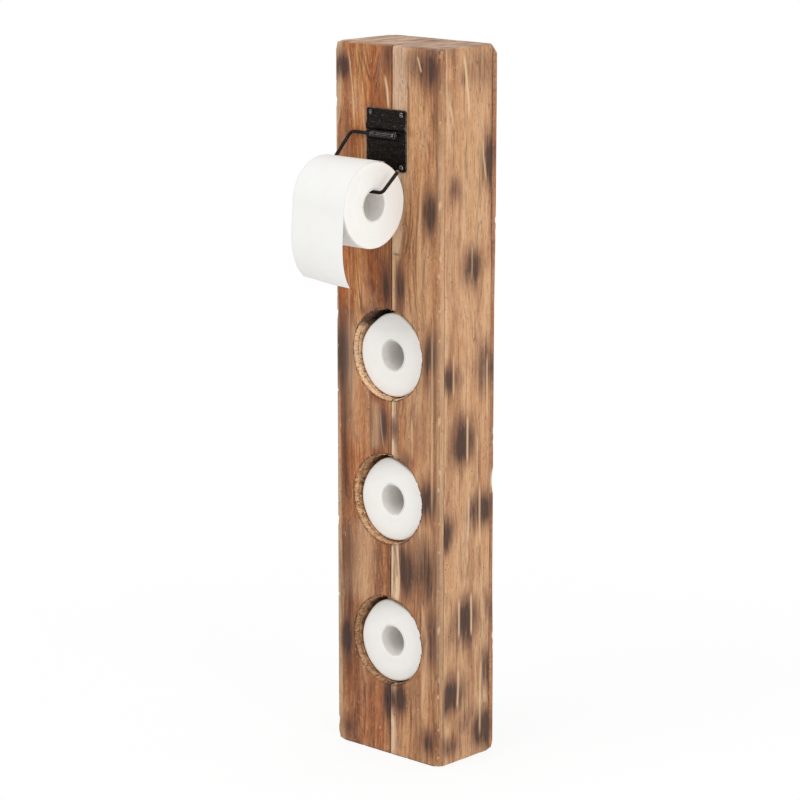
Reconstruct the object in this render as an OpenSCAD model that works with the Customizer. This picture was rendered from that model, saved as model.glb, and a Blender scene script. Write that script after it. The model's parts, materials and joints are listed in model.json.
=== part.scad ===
// Free-standing toilet roll holder: a column glued up from reclaimed boards, with three blind
// bores for spare rolls, and a bent wire hanger that turns in the curled knuckle of a steel plate.
// The column's base is centred on the origin. Its front faces -Y, and up is +Z. Lengths in mm.

/* [Column] */
// Height of the column
column_h = 1000; // [900:5:1200]
// Width of the column across its front
column_w = 193; // [170:1:240]
// Depth of the column from its front to its back
column_d = 117; // [112:1:140]
// Thickness of the front staves
front_t = 10; // [6:0.5:20]
// Thickness of the back board
back_t = 11.5; // [8:0.5:16]
// Radius of the worn edges all round the column
edge_r = 2; // [1:0.5:8]
// Seam between the front staves at the top, to the right of the middle
seam_top_x = 9; // [2:0.5:15]
// Seam between the front staves at the foot, to the right of the middle
seam_foot_x = 5; // [2:0.5:15]
// Seam between the two core beams, to the right of the middle
core_seam_x = 8; // [2:0.5:15]
// Width, depth and height of the chip off the top corner at the back right
chip = [10, 13, 9]; // [6:1:18]

/* [Bores] */
// How much wider a bore is than a full roll
bore_play = 5.5; // [5:0.5:20]
// Height of the lowest bore's axis above the floor
bore_low_z = 166.3; // [120:0.5:190]
// Distance from one bore's axis to the next
bore_pitch = 204.5; // [160:0.5:220]

/* [Rolls] */
// Diameter of a full roll
roll_d = 118; // [100:1:140]
// Width of a roll
roll_w = 94.5; // [85:0.5:98]
// Inner diameter of the cardboard core
core_d = 42; // [36:0.5:46]
// Wall of the cardboard core
core_wall = 1; // [0.6:0.1:2]

/* [Loose sheet] */
// Thickness of the loose sheet
sheet_t = 0.5; // [0.4:0.1:1]
// Angle of the wrap that starts behind the roll's crown
sheet_back_angle = 20; // [5:1:40]
// Length that hangs straight down from the front of the roll
sheet_straight = 55.5; // [30:0.5:80]
// Radius of the curl at the sheet's lower end
sheet_curl_r = 83; // [60:1:120]
// Angle that the lower end curls through
sheet_curl_angle = 36; // [10:1:45]

/* [Wall plate] */
// Width of the plate
plate_w = 73.5; // [66:0.5:80]
// Height of the plate
plate_h = 84.3; // [80:0.1:100]
// Thickness of the sheet steel
plate_t = 1.8; // [1.2:0.1:2.2]
// Radius of the plate's corners
plate_corner_r = 3; // [1:0.5:6]
// Gap from the column's top to the plate's top edge
plate_top_gap = 85.5; // [60:0.5:120]
// Rise of the pressed bead above the plate's face
bead_rise = 2.2; // [1:0.1:3]
// Width of the pressed bead
bead_w = 11; // [8:0.5:14]
// Height of the bead's middle above the pivot
bead_lift = 10.6; // [10:0.1:14]
// Width of the window that the knuckle's tongue is cut from
window_w = 58; // [52:0.5:62]
// Gap in the window below the knuckle
window_gap = 2.6; // [1:0.1:5]
// Left end of the knuckle, to the left of the middle
knuckle_left = 25; // [18:0.5:25.5]
// Right end of the knuckle, to the right of the middle
knuckle_right = 18; // [10:0.5:22]

/* [Screws] */
// Distance between the screws across the plate
screw_spacing_x = 56; // [50:0.5:62]
// Distance between the screws up the plate
screw_spacing_z = 71; // [68:0.5:76]
// Diameter of a screw's head
screw_head_d = 7; // [6:0.1:8]
// Height of a screw's head
screw_head_h = 2.2; // [1.5:0.1:3]
// Diameter of a screw's shank
screw_shank_d = 3.5; // [3:0.1:4]
// Length of a screw's shank
screw_len = 25; // [20:1:40]

/* [Hanger] */
// Diameter of the wire
wire_d = 5; // [4:0.1:6]
// Radius of the bends along the wire's centre line
bend_r = 6.5; // [5:0.5:9]
// Height of the pivot above the plate's middle
pivot_lift = 6.65; // [4:0.05:10]
// Drop from the pivot to the bar that the roll hangs on
arm_drop = 67.9; // [60:0.1:80]
// Slant of the arm away from the roll, from its top to its foot
arm_splay = 9; // [2:0.5:14]
// Length of the bar past the roll's free side
bar_past_roll = 14; // [10:0.5:24]
// Length of the stub that keeps the roll on the bar
stub_len = 37; // [25:0.5:50]
// Slant of the stub away from the roll
stub_splay = 8.3; // [2:0.1:12]
// Length of wire that stands out of the knuckle's right end
pivot_end = 3; // [1:0.5:5]
// Middle of the hanging roll, to the left of the column's middle
roll_left = 14; // [10:0.5:18]

/* [Hidden] */
$fn = 96;

// Clearances
seat_gap = 0.3;       // between a roll and what it rests on, and under the loose sheet
front_gap = 1.6;      // between the hanging roll and the column's front
arm_side_gap = 1.2;   // from the roll's side to the arm's centre line at the pivot
pivot_gap = 0.08;     // radial, between the wire and the knuckle
plate_gap = 0.6;      // between the wire and the plate's face
pilot_gap = 0.05;     // radial, between a screw's shank and its hole
wrap_gap = 0.05;      // radial, between the paper and its core
bend_swell = 0.03;    // radial, by which the wire is thicker in its bends
bend_lap = 0.1;       // length by which a straight stretch runs on into a bend
cut = 1;              // overrun of every cut

bore_count = 3;
bore_d = roll_d + bore_play;
bore_depth = column_d - back_t;
front_y = -column_d / 2;
back_y = column_d / 2;
core_y = front_y + front_t;
board_y = back_y - back_t;

wire_r = wire_d / 2;
roll_r = roll_d / 2;
plate_z = column_h - plate_top_gap - plate_h / 2;
pivot_z = plate_z + pivot_lift;
pivot_out = plate_t + plate_gap + wire_r;
bar_out = roll_r + front_gap;
bar_z = pivot_z - arm_drop;
roll_z = bar_z - core_d / 2 + wire_r + seat_gap;
roll_left_x = -roll_left - roll_w / 2;
roll_right_x = -roll_left + roll_w / 2;

knuckle_bore_r = wire_r + pivot_gap;
knuckle_r = knuckle_bore_r + plate_t;
knuckle_slit_angle = 40;
knuckle_slit_start = 95;

recess_w_share = 0.6;
recess_t_share = 0.16;
recess_deep_share = 0.5;
recess_w = screw_head_d * recess_w_share;
recess_t = screw_head_d * recess_t_share;
recess_deep = screw_head_h * recess_deep_share;

// Wire's corners: cut end in the knuckle, top of the arm, foot of the arm, end of the bar, stub
arm_top_x = roll_left_x - arm_side_gap;
bar_right_x = roll_right_x + bar_past_roll;
arm_rise = [0, bar_out - pivot_out, arm_drop];
stub_rise = sqrt(stub_len * stub_len - stub_splay * stub_splay) / norm(arm_rise);
wire_points = [
    [knuckle_right + pivot_end, front_y - pivot_out, pivot_z],
    [arm_top_x, front_y - pivot_out, pivot_z],
    [arm_top_x - arm_splay, front_y - bar_out, bar_z],
    [bar_right_x, front_y - bar_out, bar_z],
    [bar_right_x + stub_splay, front_y - bar_out, bar_z] + stub_rise * arm_rise
];

function unit(v) = v / norm(v);
function turn(a, b) = acos(unit(a) * unit(b));

// Flat shape in a plane across X, pushed along X. Its first axis points out of the column's
// front, its second points up, and both count from the column's front edge on the floor.
module along_x(from, to) {
    translate([from, front_y, 0])
        mirror([0, 1, 0])
            rotate([90, 0, 90])
                linear_extrude(to - from)
                    children();
}

module rounded_rectangle(w, h, r) {
    square([w - 2 * r, h], center = true);
    square([w, h - 2 * r], center = true);
    for (x = [-1, 1], y = [-1, 1])
        translate([x * (w / 2 - r), y * (h / 2 - r)])
            circle(r);
}

// The column as one block, with worn edges all round
module column_block() {
    translate([0, 0, column_h / 2])
        intersection() {
            linear_extrude(column_h, center = true)
                rounded_rectangle(column_w, column_d, edge_r);
            rotate([90, 0, 0])
                linear_extrude(column_d, center = true)
                    rounded_rectangle(column_w, column_h, edge_r);
            rotate([90, 0, 90])
                linear_extrude(column_w, center = true)
                    rounded_rectangle(column_d, column_h, edge_r);
        }
}

// What is missing at the top corner at the back right
module corner_chip() {
    slope = unit([1 / chip.x, 1 / chip.y, 1 / chip.z]);
    reach = norm(chip);
    translate([column_w / 2 - chip.x, back_y, column_h])
        rotate([0, acos(slope.z), atan2(slope.y, slope.x)])
            translate([-2 * reach, -2 * reach, 0])
                cube([4 * reach, 4 * reach, reach]);
}

module bores() {
    for (i = [0 : bore_count - 1])
        translate([0, board_y, bore_low_z + i * bore_pitch])
            rotate([90, 0, 0])
                cylinder(h = bore_depth + cut, d = bore_d);
}

// Puts its children at one screw's place on the column's front, pointing out of it
module at_screw(column, row) {
    translate([column * screw_spacing_x / 2, front_y, plate_z + row * screw_spacing_z / 2])
        rotate([90, 0, 0])
            children();
}

module pilot_holes() {
    for (column = [-1, 1], row = [-1, 1])
        at_screw(column, row)
            translate([0, 0, plate_t - screw_len - pilot_gap])
                cylinder(h = screw_len, r = screw_shank_d / 2 + pilot_gap);
}

// One board of the column: the part of the block that its children cover, bored and drilled
module board() {
    difference() {
        intersection() {
            column_block();
            children();
        }
        bores();
        pilot_holes();
    }
}

// Front view of a stave, from the slanting seam to one side of the column
module stave(side_x) {
    translate([0, core_y, 0])
        rotate([90, 0, 0])
            linear_extrude(front_t)
                polygon([[seam_foot_x, 0], [seam_top_x, column_h], [side_x, column_h], [side_x, 0]]);
}

module front_stave_left() {
    color([0.62, 0.36, 0.19])
        board()
            stave(-column_w / 2);
}

module front_stave_right() {
    color([0.72, 0.52, 0.36])
        board()
            stave(column_w / 2);
}

module core_beam_left() {
    color([0.70, 0.50, 0.34])
        board()
            translate([-column_w / 2, core_y, 0])
                cube([column_w / 2 + core_seam_x, board_y - core_y, column_h]);
}

module core_beam_right() {
    color([0.75, 0.54, 0.38])
        difference() {
            board()
                translate([core_seam_x, core_y, 0])
                    cube([column_w / 2 - core_seam_x, board_y - core_y, column_h]);
            corner_chip();
        }
}

module back_board() {
    color([0.48, 0.29, 0.19])
        difference() {
            intersection() {
                column_block();
                translate([-column_w / 2, board_y, 0])
                    cube([column_w, back_t, column_h]);
            }
            corner_chip();
        }
}

// Cross-section of the plate: flat sheet with one bead pressed out along its whole width
module plate_section() {
    outer_r = (bead_w * bead_w / 4 + bead_rise * bead_rise) / (2 * bead_rise);
    bead_out = plate_t + bead_rise - outer_r;
    difference() {
        union() {
            translate([0, plate_z - plate_h / 2])
                square([plate_t, plate_h]);
            intersection() {
                translate([bead_out, pivot_z + bead_lift])
                    circle(outer_r);
                translate([0, plate_z - plate_h / 2])
                    square([plate_t + bead_rise, plate_h]);
            }
        }
        translate([bead_out, pivot_z + bead_lift])
            circle(outer_r - plate_t);
    }
}

// Cross-section of the knuckle: a tongue that leaves the window's top edge and curls round
// the wire until its end nearly meets the sheet again
module knuckle_section() {
    difference() {
        union() {
            translate([pivot_out, pivot_z])
                circle(knuckle_r);
            translate([0, pivot_z + knuckle_bore_r])
                square([pivot_out, plate_t]);
        }
        translate([pivot_out, pivot_z]) {
            circle(knuckle_bore_r);
            intersection() {
                square(2 * knuckle_bore_r + plate_t, center = true);
                rotate(knuckle_slit_start)
                    polygon(2 * knuckle_r * [
                        [0, 0],
                        [1, 0],
                        [cos(knuckle_slit_angle), sin(knuckle_slit_angle)]
                    ]);
            }
        }
    }
}

module wall_plate() {
    color([0.10, 0.10, 0.10]) {
        difference() {
            intersection() {
                along_x(-plate_w / 2, plate_w / 2)
                    plate_section();
                translate([0, front_y + cut, plate_z])
                    rotate([90, 0, 0])
                        linear_extrude(plate_t + bead_rise + 2 * cut)
                            rounded_rectangle(plate_w, plate_h, plate_corner_r);
            }
            along_x(-window_w / 2, window_w / 2)
                translate([-cut, pivot_z - knuckle_r - window_gap])
                    square([plate_t + 2 * cut, knuckle_r + window_gap + knuckle_bore_r]);
            for (column = [-1, 1], row = [-1, 1])
                at_screw(column, row)
                    translate([0, 0, -cut])
                        cylinder(h = plate_t + 2 * cut, r = screw_shank_d / 2 + pilot_gap);
        }
        along_x(-knuckle_left, knuckle_right)
            knuckle_section();
    }
}

// Pan-head screw: domed head with a cross recess, and a plain shank
module plate_screw(column, row) {
    dome_r = (screw_head_d * screw_head_d / 4 + screw_head_h * screw_head_h) / (2 * screw_head_h);
    color([0.35, 0.34, 0.33])
        at_screw(column, row) {
            difference() {
                translate([0, 0, plate_t])
                    intersection() {
                        cylinder(h = screw_head_h, d = screw_head_d);
                        translate([0, 0, screw_head_h - dome_r])
                            sphere(dome_r);
                    }
                for (angle = [0, 90])
                    rotate(angle)
                        translate([-recess_w / 2, -recess_t / 2, plate_t + screw_head_h - recess_deep])
                            cube([recess_w, recess_t, recess_deep + cut]);
            }
            translate([0, 0, plate_t - screw_len])
                cylinder(h = screw_len, d = screw_shank_d);
        }
}

// Straight stretch of wire from one point to another
module wire_straight(from, to) {
    run = to - from;
    translate(from)
        rotate([0, acos(run.z / norm(run)), atan2(run.y, run.x)])
            cylinder(h = norm(run), r = wire_r);
}

// Bend at a corner of the wire, between the directions that come in and go out
module wire_bend(corner, in, out) {
    angle = turn(in, out);
    side = unit(unit(out) - unit(in) * cos(angle));
    start = corner - unit(in) * bend_r * tan(angle / 2);
    middle = start + side * bend_r;
    x = -side;
    y = unit(in);
    z = cross(x, y);
    multmatrix([
        [x.x, y.x, z.x, middle.x],
        [x.y, y.y, z.y, middle.y],
        [x.z, y.z, z.z, middle.z],
        [0, 0, 0, 1]
    ])
        rotate_extrude(angle = angle)
            translate([bend_r, 0])
                circle(wire_r + bend_swell);
}

// How far before a corner, and after it, the wire stops being straight
function bend_reach(points, i) =
    i == 0 || i == len(points) - 1
        ? 0
        : bend_r * tan(turn(points[i] - points[i - 1], points[i + 1] - points[i]) / 2) - bend_lap;

module hanger() {
    color([0.08, 0.08, 0.08]) {
        for (i = [0 : len(wire_points) - 2]) {
            along = unit(wire_points[i + 1] - wire_points[i]);
            wire_straight(
                wire_points[i] + along * bend_reach(wire_points, i),
                wire_points[i + 1] - along * bend_reach(wire_points, i + 1)
            );
        }
        for (i = [1 : len(wire_points) - 2])
            wire_bend(
                wire_points[i],
                wire_points[i] - wire_points[i - 1],
                wire_points[i + 1] - wire_points[i]
            );
    }
}

module tube(length, outer_r, inner_r) {
    difference() {
        cylinder(h = length, r = outer_r);
        translate([0, 0, -cut])
            cylinder(h = length + 2 * cut, r = inner_r);
    }
}

module roll_core() {
    color([0.86, 0.85, 0.83])
        tube(roll_w, core_d / 2 + core_wall, core_d / 2);
}

module roll_paper() {
    color([0.96, 0.96, 0.95])
        tube(roll_w, roll_r, core_d / 2 + core_wall + wrap_gap);
}

// Puts a roll on the hanger's bar
module on_bar() {
    translate([roll_left_x, front_y - bar_out, roll_z])
        rotate([0, 90, 0])
            children();
}

// Lays a roll in a bore, counted from the lowest, on the bore's floor and against the back board
module in_bore(i) {
    translate([0, board_y - seat_gap, bore_low_z + i * bore_pitch - bore_d / 2 + seat_gap + roll_r])
        rotate([90, 0, 0])
            children();
}

// Cross-section of the loose sheet: over the roll's crown, down its front, and a curl at the end
module sheet_section() {
    inner_r = roll_r + seat_gap;
    outer_r = inner_r + sheet_t;
    translate([bar_out, roll_z]) {
        difference() {
            intersection() {
                circle(outer_r);
                union() {
                    square(outer_r);
                    polygon(2 * outer_r * [
                        [0, 0],
                        [0, 1],
                        [-sin(sheet_back_angle), cos(sheet_back_angle)]
                    ]);
                }
            }
            circle(inner_r);
        }
        translate([inner_r, -sheet_straight])
            square([sheet_t, sheet_straight]);
        translate([outer_r - sheet_curl_r, -sheet_straight])
            intersection() {
                difference() {
                    circle(sheet_curl_r);
                    circle(sheet_curl_r - sheet_t);
                }
                polygon(2 * sheet_curl_r * [
                    [0, 0],
                    [1, 0],
                    [cos(sheet_curl_angle), -sin(sheet_curl_angle)]
                ]);
            }
    }
}

module loose_sheet() {
    color([0.97, 0.97, 0.96])
        along_x(roll_left_x, roll_right_x)
            sheet_section();
}

front_stave_left();
front_stave_right();
core_beam_left();
core_beam_right();
back_board();
wall_plate();
plate_screw(-1, 1);  // plate_screw_1
plate_screw(1, 1);  // plate_screw_2
plate_screw(-1, -1);  // plate_screw_3
plate_screw(1, -1);  // plate_screw_4
hanger();
on_bar() roll_core();  // hanging_roll_core
on_bar() roll_paper();  // hanging_roll_paper
loose_sheet();
in_bore(2) roll_core();  // spare_roll_1_core
in_bore(2) roll_paper();  // spare_roll_1_paper
in_bore(1) roll_core();  // spare_roll_2_core
in_bore(1) roll_paper();  // spare_roll_2_paper
in_bore(0) roll_core();  // spare_roll_3_core
in_bore(0) roll_paper();  // spare_roll_3_paper
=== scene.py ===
"""Free-standing toilet roll holder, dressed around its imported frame. Lengths are in metres,
and marks on the wood are placed in millimetres."""
import json
import math

import bmesh
import bpy
import numpy as np
from mathutils import Matrix, Vector


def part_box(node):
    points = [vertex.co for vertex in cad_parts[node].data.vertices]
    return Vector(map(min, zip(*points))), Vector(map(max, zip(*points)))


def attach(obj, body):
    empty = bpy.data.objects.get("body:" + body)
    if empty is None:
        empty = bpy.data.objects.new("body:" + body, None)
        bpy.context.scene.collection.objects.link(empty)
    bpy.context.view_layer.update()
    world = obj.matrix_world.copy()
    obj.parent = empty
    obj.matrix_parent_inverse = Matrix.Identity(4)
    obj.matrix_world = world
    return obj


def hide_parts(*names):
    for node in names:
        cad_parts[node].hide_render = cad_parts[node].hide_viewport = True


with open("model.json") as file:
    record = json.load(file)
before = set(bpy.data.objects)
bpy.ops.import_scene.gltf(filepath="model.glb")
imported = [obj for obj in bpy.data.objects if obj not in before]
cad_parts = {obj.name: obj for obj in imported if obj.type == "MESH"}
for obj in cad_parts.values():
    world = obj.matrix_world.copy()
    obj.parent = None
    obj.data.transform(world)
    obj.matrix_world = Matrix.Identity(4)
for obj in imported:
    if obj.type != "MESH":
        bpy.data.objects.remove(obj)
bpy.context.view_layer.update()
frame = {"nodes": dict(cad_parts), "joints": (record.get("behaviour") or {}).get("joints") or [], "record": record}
nodes = frame["nodes"]

# Front staves
# Two 10 mm boards of reclaimed teak, glued side by side over the core. The left one is red-brown
# heartwood with a cathedral figure, and the right one has pale sapwood along the seam. Both are
# bored through three times, oiled, and scorched here and there with a torch.
mm = 0.001
stave_cell = 1.25 * mm
edge_reach = 5 * mm
edge_depth = 0.3 * mm
nick_depth = 1.8 * mm
wave_depth = 0.3 * mm
tear_depth = 2.4 * mm
chip_reach = 4.5 * mm
chip_depth = 2.6 * mm
corner_reach = 13 * mm
corner_depth = 2.6 * mm
chip_size = np.array([13, 15.5, 15]) * mm
wave_grain, nick_grain, tear_grain, chip_grain = (13, 13, 110), (6, 6, 8), (6, 8, 5), (5, 30, 5)
brush_grain = (3.4, 1, 40)
seat_gap = 0.3 * mm

glue_line = 0.2 * mm
seam_foot = 5 * mm
seam_top = 9 * mm
window_half = np.array([32, 9]) * mm
window_height = 877 * mm
# The part of each bore's wall that is given painted shade, in degrees anticlockwise from the right
shade_starts, shade_ends = (88, 112), (138, 158)

back_low, back_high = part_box("back_board")
stave_low, stave_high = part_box("front_stave_right")
column_low = np.array([back_low.x, stave_low.y, back_low.z])
column_high = np.array(back_high)
core_y = stave_high.y
board_y = back_low.y
openings = {opening["name"]: opening["box_m"] for opening in frame["record"]["physics"]["openings"]}
mouths = [box for name, box in openings.items() if name.endswith("_mouth")]
bore_heights = [(low[2] + high[2]) / 2 for low, high in mouths]
bore_radius = min(bore_heights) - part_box("spare_roll_3_paper")[0].z + seat_gap


def tone(red, green, blue):
    """A colour written as it shows, 0 to 255, as the linear colour that a shader takes."""
    shares = [value / 255 for value in (red, green, blue)]
    linear = [s / 12.92 if s <= 0.04045 else ((s + 0.055) / 1.055) ** 2.4 for s in shares]
    return (*linear, 1.0)


class Socket:
    """One output in a node tree. An expression on sockets adds its Math nodes to the tree."""

    def __init__(self, tree, output=None):
        self.tree = tree
        self.output = output

    def node(self, kind, settings=(), inputs=(), output=0):
        """Adds a node: its settings first, then the values or links of its sockets."""
        made = self.tree.nodes.new(kind)
        for name, value in dict(settings).items():
            if name == "stops":
                lay_stops(made.color_ramp.elements, value)
            else:
                setattr(made, name, value)
        for name, value in dict(inputs).items():
            if isinstance(value, Socket):
                self.tree.links.new(value.output, made.inputs[name])
            else:
                made.inputs[name].default_value = value
        return Socket(self.tree, made.outputs[output])

    def maths(self, operation, *others):
        """A Math node on this socket and the other terms."""
        return self.node("ShaderNodeMath", {"operation": operation}, enumerate((self, *others)))

    def __add__(self, other):
        return self.maths("ADD", other)

    def __sub__(self, other):
        return self.maths("SUBTRACT", other)

    def __rsub__(self, other):
        return self.node("ShaderNodeMath", {"operation": "SUBTRACT"}, {0: other, 1: self})

    def __mul__(self, other):
        return self.maths("MULTIPLY", other)

    def __truediv__(self, other):
        return self.maths("DIVIDE", other)

    def __pow__(self, other):
        return self.maths("POWER", other)

    __radd__ = __add__
    __rmul__ = __mul__


def lay_stops(elements, stops):
    """Gives a colour ramp its stops of (place, colour)."""
    while len(elements) < len(stops):
        elements.new(1.0)
    for element, (place, colour) in zip(elements, stops):
        element.position = place
        element.color = colour


def parts_of(vector):
    """The x, y and z of a vector socket."""
    split = vector.node("ShaderNodeSeparateXYZ", (), {0: vector})
    return [Socket(split.tree, output) for output in split.output.node.outputs]


def scaled(vector, factors):
    return vector.node("ShaderNodeVectorMath", {"operation": "MULTIPLY"}, {0: vector, 1: factors})


def noise(vector, scale, detail=2.0, roughness=0.5):
    """Smooth noise from 0 to 1."""
    return vector.node("ShaderNodeTexNoise", (), {
        "Vector": vector, "Scale": scale, "Detail": detail, "Roughness": roughness})


def noise_along(measure, detail=2.0):
    """Smooth noise from 0 to 1 that changes along one measure only."""
    return measure.node("ShaderNodeTexNoise", {"noise_dimensions": "1D"}, {
        "W": measure, "Scale": 1.0, "Detail": detail})


def drawn_out(place, along, scale, detail=2.0, roughness=0.5):
    """Noise drawn out along the grain, where along is its share of the scale upwards."""
    return noise(scaled(place, (1, 1, along)), scale, detail, roughness)


def ramp(value, *stops):
    return value.node("ShaderNodeValToRGB", {"stops": stops}, {0: value})


def step_up(value, start, end):
    """0 below start, 1 above end, and a smooth climb between them."""
    return value.node("ShaderNodeMapRange", {"interpolation_type": "SMOOTHSTEP"}, {
        "Value": value, "From Min": start, "From Max": end})


def blend(factor, under, over, kind="MIX"):
    """Colour over laid on colour under as far as factor says."""
    anchor = next(term for term in (factor, under, over) if isinstance(term, Socket))
    return anchor.node("ShaderNodeMix", {"data_type": "RGBA", "blend_type": kind}, {
        0: factor, 6: under, 7: over}, output=2)


def attribute(start, name, output="Fac"):
    return start.node("ShaderNodeAttribute", {"attribute_name": name}, (), output)


def own_place(start):
    return start.node("ShaderNodeTexCoord", (), (), "Object")


def as_vector(start, **parts):
    return start.node("ShaderNodeCombineXYZ", (), parts)


def bumps(height, strength, distance):
    return height.node("ShaderNodeBump", (), {
        "Strength": strength, "Distance": distance, "Height": height})


def new_finish(name):
    """A new material, its main shader, and a socket to start its maths from."""
    finish = bpy.data.materials.new(name)
    finish.use_nodes = True
    shader = finish.node_tree.nodes["Principled BSDF"]
    return finish, shader, Socket(finish.node_tree)


def feed(shader, **inputs):
    """Links sockets to a shader's inputs, or sets plain values there."""
    for name, value in inputs.items():
        socket = shader.inputs[name.replace("_", " ")]
        if isinstance(value, Socket):
            value.tree.links.new(value.output, socket)
        else:
            socket.default_value = value


def spread(value, gain):
    """Noise pulled apart about its middle, so that it reaches its light and dark ends."""
    return (value - 0.5) * gain + 0.5


def graded(grain, colours):
    """The colours of one wood, from its darkest grain to its lightest."""
    places = (0.05, 0.32, 0.52, 0.72, 0.98)
    return ramp(grain, *((place, tone(*colour)) for place, colour in zip(places, colours)))


def teak(name, colours, foot_colours, late_wood, sap_wood, pith, lean, ring_width, bowed, seed,
         mixed, coarse=0.0):
    """Teak cut out of a log: rings round a leaning pith, fibres along the grain, and the marks
    that the board's own attributes place. pith is (x, y) at the floor in mm, lean its slope."""
    finish, shader, start = new_finish(name)
    place = own_place(start)
    bow = (noise(scaled(place, (0.6, 0.6, 1)), 5.0, 0.0) - 0.5) * (bowed * mm)
    place = start.node("ShaderNodeVectorMath", {"operation": "ADD"}, {
        0: place, 1: as_vector(start, X=bow, Y=bow)})
    x, y, z = parts_of(place)
    from_pith_x = x - (z * lean[0] + pith[0] * mm)
    from_pith_y = y - (z * lean[1] + pith[1] * mm)
    radius = (from_pith_x * from_pith_x + from_pith_y * from_pith_y) ** 0.5
    radius = radius + drawn_out(place, 0.12, 26 + seed) * 0.022
    rings = (radius / (ring_width * mm) + noise_along(radius * 90 + seed) * 2.4).maths("FRACT")
    late = step_up(rings, 0.55, 0.92) * (1 - step_up(rings, 0.94, 1.0))
    late = late * step_up(drawn_out(place, 0.25, 17 + seed), 0.40, 0.60)

    bands = spread(drawn_out(place, 0.03, 58 + seed), 2.7)
    streaks = spread(drawn_out(place, 0.03, 250 + seed, 4.0, 0.68), 2.7)
    fibres = spread(drawn_out(place, 0.035, 430, 3.0, 0.6), 2.4)
    ticks = spread(drawn_out(place, 0.3, 260 + seed, 2.0, 0.7), 2.8)
    patches = spread(drawn_out(place, 0.32, 25 + seed, 3.0, 0.6), 2.4)
    hue = spread(drawn_out(place, 0.15, 36 + seed), 2.4)
    lines = drawn_out(place, 0.01, 430 + seed, 2.0, 0.6)
    pore = step_up(drawn_out(place, 0.1, 560 + seed, 1.0, 0.4), 0.61, 0.68)
    pinhole = 1 - step_up(start.node("ShaderNodeTexVoronoi", (), {
        "Vector": place, "Scale": 62.0, "Randomness": 1.0}), 0.05, 0.085)
    veins = drawn_out(place, 0.06, 34 + seed, 1.0) * 7
    veins = ((veins + ticks * 0.03).maths("FRACT") - 0.5).maths("ABSOLUTE")
    vein = (1 - step_up(veins, 0.02, 0.085)) * step_up(drawn_out(place, 0.3, 29.0), 0.46, 0.62)

    sap, scorch, cream, shade, bored, worn, seam, end = (
        attribute(start, mark)
        for mark in ("sap", "scorch", "cream", "shade", "bored", "worn", "seam", "end"))
    heart = 1 - sap * 0.7
    top_cut = ramp(spread(noise(scaled(place, (1, 0.25, 1)), 90.0, 3.0, 0.6), 2.6),
                   (0.1, tone(132, 98, 78)), (0.5, tone(176, 142, 118)), (0.9, tone(204, 176, 152)))
    torn = spread(noise(scaled(place, (1, 0.3, 1)), 300.0, 4.0, 0.62), 2.2)
    cracks = noise(scaled(place, (1, 0.25, 1.2)), 420.0)
    raw = ramp(torn, (0.0, tone(146, 100, 66)), (0.35, tone(196, 148, 106)),
               (0.8, tone(228, 186, 142)))
    # Painted light: the bore walls above about half a metre are lighter
    raw = blend(step_up(z, 0.46, 0.50) * 0.72, raw, tone(255, 216, 176))
    raw = blend((1 - step_up(z, 0.16, 0.26)) * 0.40, raw, tone(112, 74, 52))
    raw = blend(step_up(cracks, 0.56, 0.64) * 0.75, raw, tone(96, 60, 40))
    brushed = streaks * 0.6 + fibres * 0.6 + ticks * 0.5 + lines * 1.2 - 1.45
    # The scorches here also carry the painted shade of the bore walls and of the plate's window
    broken = scorch * 1.35 + brushed * (0.12 + scorch * 0.34) - 0.06
    singed_and_shaded = step_up(broken, 0.06, 0.66) * (1 - cream * 0.85)
    burnt_and_shaded = step_up(broken, 0.50, 1.05) * (1 - cream * 0.9)
    rubbed = noise(place, 150.0, 3.0, 0.6)

    grain = bands * 0.38 + streaks * 0.26 + fibres * 0.22 + patches * 0.26 + ticks * 0.32 - 0.22
    sap_grain = streaks * 0.4 + fibres * 0.25 + ticks * 0.35
    colour = blend(1 - step_up(z, 0.28, 0.60), graded(grain, colours), graded(grain, foot_colours))
    for share, over in (
            # The wood itself
            (step_up(hue, 0.50, 1.0) * mixed, tone(206, 172, 138)),
            ((1 - step_up(hue, 0.0, 0.50)) * mixed, tone(170, 92, 54)),
            (late * 0.55, late_wood),
            (sap * 0.94, ramp(sap_grain, *sap_wood)),
            (vein * heart * 0.7, late_wood),
            (step_up(ticks, 0.78, 1.15) * 0.60, tone(92, 58, 40)),
            ((1 - step_up(ticks, -0.15, 0.20)) * 0.40, tone(242, 210, 172)),
            (step_up(streaks, 0.78, 1.05) * (1 - sap * 0.6) * 0.5, tone(98, 56, 36)),
            (step_up(lines, 0.63, 0.70) * heart * 0.65, tone(84, 50, 36)),
            ((1 - step_up(streaks, -0.05, 0.20)) * 0.4, tone(236, 200, 158)),
            (step_up(patches, 0.60, 1.0) * 0.36, tone(112, 72, 52)),
            (step_up(fibres, 0.70, 1.0) * (1 - sap * 0.6) * 0.40, tone(122, 68, 42)),
            (pore * 0.30, tone(84, 50, 34)),
            (pinhole * (0.7 + sap * 0.2), tone(66, 42, 32)),
            # Its cuts, streaks, scorches, wear and painted shade
            (end * 0.9, top_cut),
            ((shade * (0.62 + streaks * 0.6)).maths("MINIMUM", 0.92), tone(82, 48, 34)),
            (bored * 0.95, raw),
            (singed_and_shaded * 0.62, tone(106, 69, 55)),
            (burnt_and_shaded * 0.82, tone(56, 40, 38)),
            # Near black: the painted shade behind the plate's window, and the deepest scorch cores
            (step_up(scorch, 1.10, 1.18), tone(9, 8, 7)),
            ((cream * (0.75 + fibres * 0.35)).maths("MINIMUM", 0.95), tone(236, 202, 162)),
            (worn * (0.35 + rubbed * 0.8), tone(234, 202, 170)),
            # Dark joints, dark lines along the front arrises and bore lips, and the painted shadow along the foot
            ((seam * (0.1 + rubbed * 1.3)).maths("MINIMUM", 0.9), tone(58, 37, 28))):
        colour = blend(share, colour, over)
    if coarse:
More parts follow.
